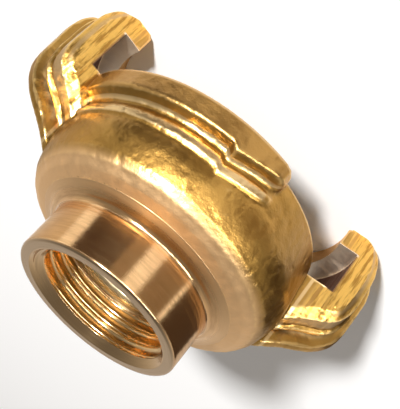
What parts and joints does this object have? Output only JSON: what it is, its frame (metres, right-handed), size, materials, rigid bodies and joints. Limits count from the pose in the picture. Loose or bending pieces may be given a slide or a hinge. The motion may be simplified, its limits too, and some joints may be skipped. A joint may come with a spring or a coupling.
{
  "type": "quarter turn claw coupling with female thread",
  "caption": "Quarter-turn brass hose coupling half with hooked claws, ramped cam wings, a female-threaded nozzle and a rubber face seal.",
  "frame": {"origin": "centre of the axis on the flat fronts of the claws, on which the coupling stands", "axes": "+Z along the water way towards the threaded nozzle's mouth; +X through the middle of a claw"},
  "size_m": [0.059, 0.0434, 0.0329],
  "materials": {
    "brass": "forged, with turned nozzle and shoulder",
    "rubber": "matt moulded rubber"
  },
  "bodies": {
    "root": {"coupling_body": "brass", "seal_ring": "rubber"}
  },
  "joints": []
}
